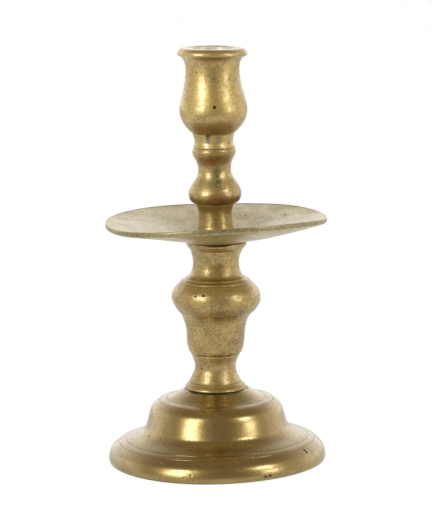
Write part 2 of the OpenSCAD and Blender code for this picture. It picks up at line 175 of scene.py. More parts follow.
def turned(outline, steps, closed=True):
    """A bmesh of the outline, a list of (radius, height) in mm, spun about the axis. Its layers
    say where dirt, red and green films, solder and painted shade lie on the finished skin."""
    mesh = bmesh.new()
    for film in ("dirt_and_painted_shade", "copper_and_painted_shade", "verdigris", "solder", "wax", "pores"):
        mesh.verts.layers.float.new(film)
    points = [mesh.verts.new((r * MM, 0, z * MM)) for r, z in outline]
    pairs = list(zip(points, points[1:]))
    if closed:
        pairs.append((points[-1], points[0]))
    edges = [mesh.edges.new(pair) for pair in pairs]
    bmesh.ops.spin(
        mesh,
        geom=points + edges,
        cent=(0, 0, 0),
        axis=(0, 0, 1),
        angle=2 * math.pi,
        steps=steps,
        use_merge=True,
    )
    bmesh.ops.remove_doubles(mesh, verts=mesh.verts, dist=1e-6)
    bmesh.ops.recalc_face_normals(mesh, faces=mesh.faces)
    return mesh


def darken_lines(mesh, lines, dark):
    """The bottoms of the lines cut at these (radius, height) in mm are painted dark: old dirt and
    painted shade.
    """
    dirt_and_painted_shade = mesh.verts.layers.float["dirt_and_painted_shade"]
    for v in mesh.verts:
        spot = (radius(v) + 0.05, v.co.z / MM + LINE_DEEP)
        if any(math.dist(spot, line) < LINE_REACH for line in lines):
            v[dirt_and_painted_shade] = dark


def eased(x, start, end):
    """0 up to start, 1 from end on, and a smooth step between them."""
    t = min(1.0, max(0.0, (x - start) / (end - start)))
    return t * t * (3 - 2 * t)


def radius(v):
    return math.hypot(v.co.x, v.co.y) / MM


def make_uneven(mesh, amount, size, beyond):
    """Old hand-finished brass is never quite round: skin further out than beyond moves a little."""
    for v in mesh.verts:
        r = radius(v)
        if r > beyond:
            move = amount * noise.noise(v.co / (size * MM)) / r
            v.co.x *= 1 + move
            v.co.y *= 1 + move


def skin_at(skin, angle, height):
    """Where a needle that is pushed in level at this height first meets the skin, in the
    direction angle from +X."""
    turn = math.radians(angle)
    out = Vector((math.cos(turn), math.sin(turn), 0))
    return skin.ray_cast(out * 100 * MM + Vector((0, 0, height * MM)), -out)[:2]


def find_points(mesh):
    """The mesh's points, and a tree that says which of them are near a spot."""
    points = list(mesh.verts)
    finder = KDTree(len(points))
    for i, v in enumerate(points):
        finder.insert(v.co, i)
    finder.balance()
    return lambda spot, reach: [points[i] for _, i, _ in finder.find_range(spot, reach * MM)]


def wear(mesh, pits, stains=()):
    """Pits are (spot, normal, width, depth): small ragged hollows, darkened with dirt and
    painted shade, the darker the deeper, for which the skin gets finer faces. Stains are
    (film, spot, reach, strength): films of dirt, tarnish, solder and painted shade that thin out to
    nothing at reach."""
    near = find_points(mesh)
    rough = {v for spot, _, width, _ in pits for v in near(spot, width + POINT_GAP)}
    edges = list({e for v in rough for e in v.link_edges})
    bmesh.ops.subdivide_edges(mesh, edges=edges, cuts=3, use_grid_fill=True)
    near = find_points(mesh)
    dirt_and_painted_shade = mesh.verts.layers.float["dirt_and_painted_shade"]
    for spot, normal, width, depth in pits:
        dark = min(1.0, depth / 0.4)
        for v in near(spot, width):
            ragged = 1 + 0.5 * noise.noise(v.co / (0.4 * MM))
            share = (v.co - spot).length * ragged / (width / 2 * MM)
            if share < 1.3:
                v.co -= normal * depth * MM * max(0, 1 - share * share)
                v[dirt_and_painted_shade] = max(v[dirt_and_painted_shade], dark * min(1, 2.6 - 2 * share))
    for film, spot, reach, strength in stains:
        layer = mesh.verts.layers.float[film]
        for v in near(spot, reach):
            share = (v.co - spot).length / (reach * MM)
            v[layer] = max(v[layer], strength * (1 - share * share))


def add_piece(name, mesh, material, body, nodes):
    """Makes the finished piece from the bmesh and says what it rides on and stands for."""
    for face in mesh.faces:
        face.smooth = True
    data = bpy.data.meshes.new(name)
    mesh.to_mesh(data)
    mesh.free()
    data.materials.append(material)
    piece = bpy.data.objects.new(name, data)
    bpy.context.scene.collection.objects.link(piece)
    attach(piece, body)
    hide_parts(*nodes)
    return piece


def linear(code):
    """An sRGB hex colour as the linear colour that the shaders take."""
    parts = [int(code[i : i + 2], 16) / 255 for i in (1, 3, 5)]
    return (*(c / 12.92 if c <= 0.04045 else ((c + 0.055) / 1.055) ** 2.4 for c in parts), 1)


def add_node(tree, kind, settings=(), links=()):
    """Adds a node. Settings are (name or socket, value) pairs, links (socket, source) pairs."""
    node = tree.nodes.new(kind)
    for key, value in settings:
        if isinstance(key, str) and hasattr(node, key):
            setattr(node, key, value)
        else:
            node.inputs[key].default_value = value
    for key, source in links:
        tree.links.new(source, node.inputs[key])
    return node


def old_brass(name, bright, brown, mottle, roughness, coat_roughness, pits):
    """Cast brass that was turned and then worn by centuries of cleaning. It is a soft yellow
    metal with a brown skin left in patches, dirt and painted shade in every hollow, fine rings
    from the lathe, and small dark casting pits."""
    material = bpy.data.materials.new(name)
    material.use_nodes = True
    tree = material.node_tree
    shader = tree.nodes["Principled BSDF"]
    # a thin clear skin of wax and oxide gives small, sharp, pale highlights
    shader.inputs["Coat Weight"].default_value = 0.65
    shader.inputs["Coat Roughness"].default_value = coat_roughness
    place = add_node(tree, "ShaderNodeTexCoord").outputs["Object"]

    # tarnish: soft clouds of about 12 mm, broken by specks of about 1.3 mm
    clouds = add_node(
        tree, "ShaderNodeTexNoise",
        [("Scale", 1 / (12 * MM)), ("Detail", 5.0), ("Roughness", 0.62)], [("Vector", place)],
    )
    specks = add_node(
        tree, "ShaderNodeTexNoise",
        [("Scale", 1 / (1.3 * MM)), ("Detail", 3.0), ("Roughness", 0.7)], [("Vector", place)],
    )
    cloud_share = add_node(
        tree, "ShaderNodeMapRange",
        [("From Min", 0.4), ("From Max", 0.62), ("To Min", 0.0), ("To Max", mottle)],
        [("Value", clouds.outputs[0])],
    )
    speck_share = add_node(
        tree, "ShaderNodeMapRange",
        [("From Min", 0.46), ("From Max", 0.6), ("To Min", 0.0), ("To Max", mottle)],
        [("Value", specks.outputs[0])],
    )
    # wiping and the lathe leave streaks round the piece, 0.7 mm high and some 7 mm long
    streak_place = add_node(
        tree, "ShaderNodeVectorMath", [("operation", "MULTIPLY"), (1, (0.1, 0.1, 1))],
        [(0, place)],
    )
    streaks = add_node(
        tree, "ShaderNodeTexNoise", [("Scale", 1 / (0.7 * MM)), ("Detail", 2.0)],
        [("Vector", streak_place.outputs[0])],
    )
    streak_share = add_node(
        tree, "ShaderNodeMapRange",
        [("From Min", 0.45), ("From Max", 0.68), ("To Min", 0.0), ("To Max", 0.28 * mottle)],
        [("Value", streaks.outputs[0])],
    )
    spotted = add_node(
        tree, "ShaderNodeMath", [("operation", "ADD")],
        [(0, cloud_share.outputs[0]), (1, speck_share.outputs[0])],
    )
    tarnish = add_node(
        tree, "ShaderNodeMath", [("operation", "ADD"), ("use_clamp", True)],
        [(0, spotted.outputs[0]), (1, streak_share.outputs[0])],
    )
    # in cut lines and corners of about a millimetre the colour is darkened by how enclosed the skin
    # is: painted shade, with some dirt that stays where a cloth can't reach
    hollow = add_node(
        tree, "ShaderNodeAmbientOcclusion", [("samples", 8), ("Distance", 1.6 * MM)]
    )
    hollow_dirt_and_painted_shade = add_node(
        tree, "ShaderNodeMapRange",
        [("From Min", 0.8), ("From Max", 0.4), ("To Min", 0.0), ("To Max", 0.85)],
        [("Value", hollow.outputs["AO"])],
    )
    tarnish_dirt_and_painted_shade = add_node(
        tree, "ShaderNodeMath", [("operation", "MAXIMUM")],
        [(0, tarnish.outputs[0]), (1, hollow_dirt_and_painted_shade.outputs[0])],
    )
    skin = add_node(
        tree, "ShaderNodeMix", [("data_type", "RGBA"), (6, linear(bright)), (7, linear(brown))],
        [(0, tarnish_dirt_and_painted_shade.outputs[0])],
    )
    # films that lie where the piece's layers put them, with edges broken by the specks
    ragged = add_node(
        tree, "ShaderNodeMath", [("operation", "ADD"), (1, 0.5)], [(0, specks.outputs[0])]
    )
    # the dark film is old dirt and painted shade, and the red film is red tarnish in places and
    # painted shade and a painted warm reflection elsewhere
    films = (
        ("copper_and_painted_shade", "#A8744E"), ("verdigris", "#84855A"), ("solder", "#7E7E78"),
        ("wax", "#E4DDC8"), ("dirt_and_painted_shade", "#241A0E"),
    )
    for film, colour in films:
        laid = add_node(tree, "ShaderNodeAttribute", [("attribute_name", film)])
        broken = add_node(
            tree, "ShaderNodeMath", [("operation", "MULTIPLY")],
            [(0, laid.outputs["Fac"]), (1, ragged.outputs[0])],
        )
        film_share = add_node(
            tree, "ShaderNodeMapRange",
            [("From Min", 0.15), ("From Max", 0.85), ("To Min", 0.0), ("To Max", 0.95)],
            [("Value", broken.outputs[0])],
        )
        skin = add_node(
            tree, "ShaderNodeMix", [("data_type", "RGBA"), (7, linear(colour))],
            [(0, film_share.outputs[0]), (6, skin.outputs[2])],
        )
    # the residue of candle wax in the bore is no metal, and it hides the brass
    waxed = add_node(tree, "ShaderNodeAttribute", [("attribute_name", "wax")])
    metal_share = add_node(
        tree, "ShaderNodeMapRange",
        [("From Min", 0.2), ("From Max", 0.9), ("To Min", 1.0), ("To Max", 0.3)],
        [("Value", waxed.outputs["Fac"])],
    )
    tree.links.new(metal_share.outputs[0], shader.inputs["Metallic"])
    # casting pits about 0.4 mm wide, one in each of some cells of about 1.4 mm, and in most
    # cells where the casting is porous
    pit_cells = add_node(
        tree, "ShaderNodeTexVoronoi", [("Scale", 1 / (1.4 * MM)), ("Randomness", 1.0)],
        [("Vector", place)],
    )
    pit_kind = add_node(
        tree, "ShaderNodeSeparateColor", [], [("Color", pit_cells.outputs["Color"])]
    )
    porous = add_node(tree, "ShaderNodeAttribute", [("attribute_name", "pores")])
    pit_chance = add_node(
        tree, "ShaderNodeMath", [("operation", "ADD")],
        [(0, pit_kind.outputs[0]), (1, porous.outputs["Fac"])],
    )
    pit_size = add_node(
        tree, "ShaderNodeMapRange",
        [("From Min", 1 - pits), ("From Max", 1.0), ("To Min", 0.0), ("To Max", 0.2)],
        [("Value", pit_chance.outputs[0])],
    )
    pitted = add_node(
        tree, "ShaderNodeMath", [("operation", "LESS_THAN")],
        [(0, pit_cells.outputs["Distance"]), (1, pit_size.outputs[0])],
    )
    skin = add_node(
        tree, "ShaderNodeMix", [("data_type", "RGBA"), (7, linear("#3A2C16"))],
        [(0, pitted.outputs[0]), (6, skin.outputs[2])],
    )
    tree.links.new(skin.outputs[2], shader.inputs["Base Color"])

    dull = add_node(
        tree, "ShaderNodeMath", [("operation", "MAXIMUM")],
        [(0, tarnish_dirt_and_painted_shade.outputs[0]), (1, film_share.outputs[0])],
    )
    rough = add_node(
        tree, "ShaderNodeMapRange",
        [("From Min", 0.0), ("From Max", 1.0), ("To Min", roughness), ("To Max", roughness + 0.25)],
        [("Value", dull.outputs[0])],
    )
    tree.links.new(rough.outputs[0], shader.inputs["Roughness"])

    # lathe rings: noise of the radius and the height alone, about 0.5 mm apart
    axes = add_node(tree, "ShaderNodeSeparateXYZ", [], [(0, place)])
    flat = add_node(
        tree, "ShaderNodeCombineXYZ", [], [("X", axes.outputs["X"]), ("Y", axes.outputs["Y"])]
    )
    from_axis = add_node(
        tree, "ShaderNodeVectorMath", [("operation", "LENGTH")], [(0, flat.outputs[0])]
    )
    ring_place = add_node(
        tree, "ShaderNodeCombineXYZ", [],
        [("X", from_axis.outputs["Value"]), ("Z", axes.outputs["Z"])],
    )
    rings = add_node(
        tree, "ShaderNodeTexNoise", [("Scale", 1 / (0.5 * MM)), ("Detail", 2.0)],
        [("Vector", ring_place.outputs[0])],
    )
    bumps = add_node(
        tree, "ShaderNodeTexNoise",
        [("Scale", 1 / (4 * MM)), ("Detail", 2.0), ("Roughness", 0.5)], [("Vector", place)],
    )
    ring_bump = add_node(
        tree, "ShaderNodeBump", [("Strength", 0.3), ("Distance", 0.015 * MM)],
        [("Height", rings.outputs[0])],
    )
    worn_bump = add_node(
        tree, "ShaderNodeBump", [("Strength", 0.5), ("Distance", 0.07 * MM)],
        [("Height", bumps.outputs[0]), ("Normal", ring_bump.outputs[0])],
    )
    pit_bump = add_node(
        tree, "ShaderNodeBump", [("Strength", 0.8), ("Distance", 0.2 * MM), ("invert", True)],
        [("Height", pitted.outputs[0]), ("Normal", worn_bump.outputs[0])],
    )
    tree.links.new(pit_bump.outputs[0], shader.inputs["Normal"])
    return material


roll_line = (53.12, 11.8)
flange_line = (49.35, 13.3)
well_foot = (38.15, 20.9)
well_top = (36.45, 26.8)
shoulder_line = (30.9, 33.7)
crown_line = (26.75, 34.7)
flange_run = (-1, 0.457)
well_run = (-1.7, 5.9)
dome_end_run = (-1, 0.74)
crown_run = (-1, 0.24)
roll = sweep((foot_r, FOOT_BELLY_Z), (-0.12, 1), roll_line, (-1, 0.96), (0.57, 0.23))
cove = sweep((48.75, 13.58), flange_run, well_foot, well_run, (0.33, 0.38))
dome = sweep(well_top, well_run, (31.6, 33.18), dome_end_run, (0.58, 0.29))
base_outline = [
    *round_up((foot_r - 1, 0), (foot_r, FOOT_BELLY_Z)),
    *roll[:-1],
    *cut_line(roll_line, flange_run, 0.5, 0.2),
    *cut_line(flange_line, flange_run, 0.5, 0.2),
    *cove,
    *dome,
    *cut_line(shoulder_line, crown_run, 0.6, 0.26),
    *cut_line(crown_line, crown_run, 0.6, 0.26),
    *sweep((26.1, 34.9), (-1, 0.3), (18.7, 38.75), (-1, 0.5), (0.35, 0.3)),
    (18.4, 38.9),
    (18.0, 39.2),
    (17.7, 39.3),
    (17.45, 39.2),
    (17.25, 38.85),
    (17.1, 38.4),
    (16.6, 38.4),
    (16.1, 38.5),
    (15.9, seat_z),
    (5.45, seat_z),
    (5.45, seat_z - CROWN_T),
    (17, seat_z - CROWN_T),
    *reversed(inset([*roll, *cove, *dome, shoulder_line, crown_line], WALL)),
    (foot_r - RIM_W, FOOT_BELLY_Z),
    (foot_r - RIM_W, 0),
]
base_mesh = turned(base_outline, BELL_STEPS)
# the cut lines of the base are painted dark, with old dirt and painted shade
darken_lines(base_mesh, (roll_line, flange_line, shoulder_line, crown_line), 0.9)
make_uneven(base_mesh, 0.14, 22, 20)
for v in base_mesh.verts:
    r = radius(v)
    angle = math.degrees(math.atan2(v.co.y, v.co.x))
    # the foot is bent up at its front right, and the flange leans to its front left
    bend = max(0.0, math.cos(math.radians(angle + 40))) ** 2 * eased(r, 36, 59) ** 2
    slope = 0.45 * math.cos(math.radians(angle - 20)) - 0.5 * math.cos(math.radians(angle)) ** 2
    slope -= 0.6 * max(0.0, math.sin(math.radians(angle)))
    slope *= eased(r, 36, 42) * (1 - eased(r, 55, 59)) * eased(v.co.z / MM, 0, 9)
    v.co.z += MM * (0.85 * bend + slope)
    v.co.x -= 0.3 * MM * eased(r, 8, 20)
# a slanting nick in the roll at the front right, nicks in the edge that stands on the
# table, and pits on the roll and in the side of the well
base_pits = (
    (-32.1, 11.3, 1.1, 0.35), (-31.7, 10.8, 1.1, 0.35), (-31.7, 10.3, 1.1, 0.35),
    (-31.9, 9.8, 1.1, 0.35),
    (-65, 2.9, 1.4, 0.4), (-63.7, 2.7, 0.9, 0.3), (-62.2, 3.1, 1.3, 0.4), (-107.9, 3.3, 0.9, 0.3),
    (-104.2, 5.1, 0.9, 0.3), (-121.5, 2.7, 0.8, 0.3), (-122.6, 9.4, 0.7, 0.2),
    (-168.9, 28.9, 1.3, 0.3), (-166.7, 26.5, 1.0, 0.3), (-161.9, 21.7, 0.9, 0.3),
    (-141.6, 27.9, 1.0, 0.3), (-155.6, 16.9, 1.1, 0.3), (-133, 16.3, 1.0, 0.3),
    (-140.3, 18.2, 0.7, 0.2), (-162.4, 19.0, 0.8, 0.2), (-152.3, 15.3, 0.8, 0.2),
)
base_skin = BVHTree.FromBMesh(base_mesh)
wear(base_mesh, [(*skin_at(base_skin, angle, z), wide, deep) for angle, z, wide, deep in base_pits])
brass_of_base = old_brass(
    "turned_cast_brass_brown", "#A8905A", "#6E582F", 0.26, 0.25, 0.16, 0.05
)
base = add_piece("bell_base", base_mesh, brass_of_base, "stand", ["base"])


# The washer and the square nut hold the base on the lower stem's threaded tenon,
# up in the hollow of the bell. They are plain brass that nobody has ever cleaned.
brass_of_nut = old_brass("uncleaned_brass", "#7A6338", "#40301A", 0.7, 0.42, 0.3, 0.05)
for node in ("base_washer", "base_nut"):
    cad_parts[node].data.materials.clear()
    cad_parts[node].data.materials.append(brass_of_nut)


# The lower stem is one solid casting, turned to a foot, a vase, a broad bulge and a
# neck that flares out under the drip pan. It wanders a little to and fro on its way
# up. Its tenon passes the base and takes the nut; its top is tapped for the upper stem.
STEM_STEPS = 224
PITCH = 2
SCREW_R = 4.2
pan_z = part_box("drip_pan")[0].z / MM
# how far each level of the stick stands to the right of the middle of its foot
COURSE = (
    (39, -0.3), (41, -0.65), (43, -0.85), (47, -0.92), (51, -0.6), (57, -0.5), (61, -0.35),
    (64, -0.4), (72, -0.12), (78, -0.12), (81.5, 0.25), (84, 0.55), (87, 0.55), (90, 0.25),
    (95, 0.1), (100, 0.1), (104, 0.28), (108, 0.38), (113, 0.52), (117, 0.87), (122, 0.7),
    (142, 0.3), (147, 0.4), (151, 0.55), (155, 0.45), (160, 0.32), (164, 0.1), (167, 0.05),
    (169.5, 0.2), (171.5, 0.3), (175, 0.2), (179, 0.0), (184, 0.05), (190, 0.12), (196, 0.17),
    (201, 0.18), (206, -0.05), (213, -0.07), (225, -0.05),
)


def add_thread(mesh, low, length):
    """A screw thread of 10 mm and 2 mm pitch: one ridge, spun up along its helix."""
    turns = length / PITCH
    steps = round(32 * turns)
    section = [(3.95, -0.68), (5.0, -0.18), (5.0, 0.18), (3.95, 0.68)]
    points = [mesh.verts.new((r * MM, 0, (low + z) * MM)) for r, z in section]
    edges = [mesh.edges.new((points[i], points[(i + 1) % 4])) for i in range(4)]
    mesh.faces.new(points)
    made = bmesh.ops.spin(
        mesh,
        geom=points + edges,
        cent=(0, 0, 0),
        axis=(0, 0, 1),
        dvec=(0, 0, length * MM / steps),
        angle=2 * math.pi * turns,
        steps=steps,
    )
    last = [g for g in made["geom_last"] if isinstance(g, bmesh.types.BMVert)]
    mesh.faces.new(last)
    bmesh.ops.recalc_face_normals(mesh, faces=mesh.faces)


def wander(mesh, within):
    """Moves the skin sideways along COURSE, but not what fits in it or into it."""
    for v in mesh.verts:
        if radius(v) < within:
            continue
        z = v.co.z / MM
        for (low, start), (high, end) in zip(COURSE, COURSE[1:]):
            if low <= z < high:
                v.co.x += MM * (start + (end - start) * eased(z, low, high))
                break


lower_skin = [
    (16.1, 0.0),
    (16.3, 0.2),
    (16.6, 0.3),
    *sweep((16.7, 0.6), (-0.1, 1), (14.25, 3.6), (-0.62, 1), (0.3, 0.3)),
    *cut_line((14.1, 3.95), (-0.6, 1)),
    *arrive((13.7, 4.5), (11.1, 12.3), 1.05),
    *leave((11.1, 12.3), (13.05, 18.7), 0.92),
    (13.05, 18.7),
    (12.95, 19.0),
    (13.0, 19.3),
    (13.35, 19.42),
    *arrive((13.5, 19.55), (15.8, 31.0), 0.62),
    *sweep((15.8, 31.0), (0.1, 1), (20.95, 43.15), (1.15, 1), (0.52, 0.24)),
    (20.95, 43.0),
    (20.85, 43.2),
    (20.95, 43.38),
    (21.3, 43.45),
    *arrive((21.5, 43.7), (24.0, 49.6)),
    *leave((24.0, 49.6), (20.25, 57.5), 1.4),
    *leave((20.25, 57.5), (19.2, 58.5))[1:],
    *cut_line((19.1, 58.7), (-1.1, 1), 0.5, 0.22),
    *round_in((18.8, 58.95), (17.6, 59.8)),
    *arrive((17.6, 59.85), (16.6, 60.65), 0.7),
    (16.5, 60.75),
    (16.35, 60.95),
    (16.1, 61.1),
    *arrive((15.6, 61.3), (12.4, 69.4), 0.62),
    *leave((12.4, 69.4), (14.0, 75.9)),
    (14.0, 75.9),
    (14.0, 76.3),
    *arrive((14.45, 76.6), (16.3, 79.5), 1.1),
    (16.35, 80.0),
    (16.3, 80.3),
    (16.15, 80.5),
    (15.9, 80.5),
    (15.0, 79.7),
    (14.2, 79.15),
]
lower_outline = [
    (0.0, 25.7),
    (3.6, 25.7),
    (SCREW_R, 26.3),
    (SCREW_R, 34.0),
    (5.3, 34.0),
    (5.3, seat_z),
    *raised(lower_skin, seat_z),
    (13.5, pan_z),
    (5.5, pan_z),
    (4.9, pan_z - 0.6),
    (4.9, 103.4),
    (0.0, 101.9),
]
lower_mesh = turned(lower_outline, STEM_STEPS, closed=False)
make_uneven(lower_mesh, 0.14, 14, 10)
wander(lower_mesh, 10)
# a dent in the front of the rim that carries the pan leaves a dark gap under the pan
for v in lower_mesh.verts:
    if radius(v) > 13.9 and v.co.z > 118.2 * MM:
        away = abs(math.degrees(math.atan2(v.co.y, v.co.x)) + 86)
        v.co.z -= 0.5 * MM * (1 - eased(away, 10, 40)) * eased(v.co.z / MM, 118.2, 119.2)
lower_skin_tree = BVHTree.FromBMesh(lower_mesh)
lower_pits = (
    (-106.7, 94.4, 1.6, 0.6), (-118.1, 93.7, 1.1, 0.4), (-94.2, 88.8, 0.8, 0.25),
    (-98, 90.4, 0.6, 0.15), (-30.3, 95.5, 0.7, 0.2), (-38, 93, 0.7, 0.2), (-22, 94, 0.7, 0.2),
    (-160, 93.3, 0.8, 0.25), (-117, 79.4, 0.7, 0.2), (-109, 73.7, 0.7, 0.15),
    (-133, 52, 1.0, 0.3), (-47.7, 51.8, 0.9, 0.2), (-111.4, 118.2, 0.8, 0.25),
)
lower_stains = (
    ("dirt_and_painted_shade", -81.8, 108.4, 2.6, 0.45), ("verdigris", -119, 112, 5, 0.45),
    ("verdigris", -111, 72.6, 2.5, 0.4), ("verdigris", -113, 77, 5, 0.3),
    ("pores", -108, 94, 7, 0.6), ("pores", -94, 88.5, 5, 0.9), ("pores", -33, 94, 5, 0.8),
    ("pores", -114, 75, 8, 0.4), ("pores", -70, 74, 8, 0.25),
)
wear(
    lower_mesh,
    [(*skin_at(lower_skin_tree, angle, z), wide, deep) for angle, z, wide, deep in lower_pits],
    [(film, skin_at(lower_skin_tree, angle, z)[0], *rest) for film, angle, z, *rest in lower_stains],
)
add_thread(lower_mesh, 26.6, 6.6)
brass_of_stem = old_brass("turned_cast_brass", "#BFA66C", "#7E6638", 0.4, 0.38, 0.16, 0.08)
lower = add_piece("baluster_stem", lower_mesh, brass_of_stem, "stand", ["lower_stem"])


# The drip pan is a thin dished disc with a plain hole, clamped between the two
# stems. It is thick in its flat middle and has been knocked out of true, so that
# its rim is high at the front right. Inside it is hazy and grey with old cleaning.
PAN_FLAT_R = 13.5
PAN_R = 59.55
PAN_SEAT_T = 3.1
PAN_WALL = 2.9
PAN_THIN = 2.35
PAN_RISE = 11.31
PAN_SHIFT = 0.84
# the bent rim, as waves round it: waves to a turn, height, direction of a crest
RIM_WAVES = ((1, 1.75, -48), (2, 1.13, -67), (3, 0.53, 44), (4, 0.14, -38), (5, 0.19, -32))


def pan_share(r):
    return max(0.0, (r - PAN_FLAT_R) / (PAN_R - PAN_FLAT_R))


def pan_top(r):
    share = pan_share(r)
    edge = max(0.0, share - 0.72) / 0.28
    return PAN_SEAT_T + PAN_RISE * (0.973 * share**0.92 + 0.027 * edge * edge)


def pan_under(r):
    share = pan_share(r)
    thinner = (PAN_SEAT_T - PAN_THIN) * eased(share, 0, 0.07)
    return pan_top(r) - PAN_SEAT_T + thinner - (PAN_WALL - PAN_THIN) * eased(share, 0.2, 0.5)


pan_radii = [PAN_FLAT_R + (PAN_R - 0.9 - PAN_FLAT_R) * i / 60 for i in range(61)]
rim_top = pan_top(PAN_R)
pan_outline = [
    (6.55, 0.0),
    (10.0, 0.0),
    *[(r, pan_under(r)) for r in pan_radii],
    (PAN_R - 0.35, rim_top - PAN_WALL + 0.15),
    (PAN_R - 0.1, rim_top - PAN_WALL + 0.5),
    (PAN_R, rim_top - PAN_WALL + 0.9),
    (PAN_R, rim_top - 0.8),
    (PAN_R - 0.1, rim_top - 0.4),
    (PAN_R - 0.35, rim_top - 0.12),
    (PAN_R - 0.7, rim_top - 0.02),
    *[(r, pan_top(r)) for r in reversed(pan_radii)],
    (10.0, PAN_SEAT_T),
    (6.55, PAN_SEAT_T),
]
pan_mesh = turned(raised(pan_outline, pan_z), BELL_STEPS)
rim_grime = pan_mesh.verts.layers.float["dirt_and_painted_shade"]
for v in pan_mesh.verts:
    share = pan_share(radius(v))
    angle = math.degrees(math.atan2(v.co.y, v.co.x))
    bend = sum(high * math.cos(math.radians(n * (angle - crest))) for n, high, crest in RIM_WAVES)
    ripple = 0.4 * noise.noise(v.co / (20 * MM)) * share
    v.co.z += MM * (share**3 * bend + ripple * share * (1 - share) * 2)
    # the pan is a little wider from side to side, and its edge is brown
    v.co.x = v.co.x * (1 + 0.0015 * share) + PAN_SHIFT * MM * eased(share, 0.02, 0.3)
    if share > 0.996:
        v[rim_grime] = 0.46
pan_skin = BVHTree.FromBMesh(pan_mesh)
pan_pits = []
for angle, r in ((65.1, 40.7), (34.5, 47.2), (150, 51)):
    turn = math.radians(angle)
    above = Vector((r * math.cos(turn), r * math.sin(turn), 200)) * MM
    pan_pits.append((*pan_skin.ray_cast(above, Vector((0, 0, -1)))[:2], 1.3, 0.3))
wear(pan_mesh, pan_pits)
brass_of_pan = old_brass("hazy_old_brass", "#CEC090", "#8E8050", 0.32, 0.42, 0.25, 0.04)
pan = add_piece("collar_pan", pan_mesh, brass_of_pan, "collar", ["drip_pan"])


# The upper stem is a smaller casting with a foot, a knop and a long throat. Its
# spigot centres the pan, its threaded stud screws into the lower stem, and the plain
# tenon on top goes up into the candle socket.
upper_z = pan_z + PAN_SEAT_T
seam_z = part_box("candle_socket")[0].z / MM
upper_skin = [
    (10.4, 0.0),
    *arrive((10.5, 0.4), (8.9, 12.2)),
    *leave((8.9, 12.2), (10.4, 18.6), 1.4),
    (10.4, 18.65),
    (10.3, 19.0),
    *round_up((10.75, 19.25), (14.15, 24.1)),
    *ogee((14.15, 24.1), (8.85, 36.8), 1.03),
    *ogee((8.85, 36.8), (11.65, 47.3), 1.33),
    *leave((11.65, 47.3), (11.05, 48.9)),
    (11.05, 49.05),
    (10.9, 49.2),
]
upper_outline = [
    (0.0, 105.5),
    (3.6, 105.5),
    (SCREW_R, 106.1),
    (SCREW_R, pan_z + 0.3),
    (6.5, pan_z + 0.3),
    (6.5, upper_z),
    *raised(upper_skin, upper_z),
    (6.3, seam_z),
    (6.3, 180.2),
    (0.0, 180.2),
]
upper_mesh = turned(upper_outline, STEM_STEPS, closed=False)
make_uneven(upper_mesh, 0.12, 12, 8)
wander(upper_mesh, 8)
upper_skin_tree = BVHTree.FromBMesh(upper_mesh)
# Under the knop, at about 144 mm, the red and dark films are painted shade on its underside; the other
# films are real tarnish, verdigris and dirt.
upper_stains = (
    ("copper_and_painted_shade", -93.9, 165.3, 4, 0.8), ("copper_and_painted_shade", -115, 162.4, 3, 0.6), ("copper_and_painted_shade", -82, 166.4, 3, 0.7),
    ("verdigris", -77.6, 159.1, 3.2, 0.8), ("verdigris", -85, 157, 3, 0.7),
    ("dirt_and_painted_shade", -77.2, 154, 1.8, 0.6), ("dirt_and_painted_shade", -78.5, 156.5, 1.2, 0.55),
    ("verdigris", -104.9, 152.6, 3, 0.6), ("verdigris", -83.7, 152.6, 3.5, 0.6),
    ("copper_and_painted_shade", -94, 144.3, 4.5, 0.7), ("copper_and_painted_shade", -70, 144.3, 4.5, 0.75), ("copper_and_painted_shade", -45, 144, 4, 0.7),
    ("dirt_and_painted_shade", -26, 144.5, 3, 0.5), ("dirt_and_painted_shade", -152, 144.5, 2.5, 0.5), ("dirt_and_painted_shade", -70, 142.8, 5, 0.35),
    ("verdigris", -144, 126.5, 4, 0.6), ("copper_and_painted_shade", -28, 137.4, 3.5, 0.6),
)
wear(
    upper_mesh,
    [],
    [(film, skin_at(upper_skin_tree, angle, z)[0], *rest) for film, angle, z, *rest in upper_stains],
)
add_thread(upper_mesh, 106.5, 11.4)
upper = add_piece("knop_stem", upper_mesh, brass_of_stem, "top", ["upper_stem"])


# The candle socket is a cup on a short waist, cast and turned in one, bored for the
# candle and soft-soldered over the tenon. A small hole in the cup lets a stub be
# pushed out. The lip is a rolled bead, nicked at the front.
socket_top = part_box("candle_socket")[1].z / MM
socket_skin = [
    (10.9, 0.0),
    (11.05, 0.15),
    *ogee((11.05, 0.4), (10.3, 3.2)),
    *leave((10.3, 3.2), (11.4, 7.8), 0.9),
    *arrive((11.4, 7.8), (18.2, 20.0), 0.88),
    *ogee((18.2, 20.0), (14.38, 41.2), 0.88),
    *sweep((14.38, 41.2), (0.02, 1), (18.1, 49.4), (1, 0.5), (0.56, 0.3)),
    (18.1, 49.4),
    (18.5, 49.7),
    (18.75, 50.2),
    (18.75, 50.7),
    (18.6, 51.3),
    *sweep((18.3, 51.8), (-0.8, 1), (15.8, 53.3), (-1, 0), (0.4, 0.4)),
    (15.8, 53.3),
]
socket_outline = [
    *raised(socket_skin, seam_z),
    (12.2, socket_top),
    (11.6, socket_top - 0.3),
    (11.3, socket_top - 1.0),
    (11.25, socket_top - 2.0),
    (11.25, 187.5),
    (0.0, 187.5),
    (0.0, 180.6),
    (6.35, 180.6),
    (6.35, seam_z),
]
socket_mesh = turned(socket_outline, STEM_STEPS)
make_uneven(socket_mesh, 0.14, 12, 9)
wander(socket_mesh, 9)
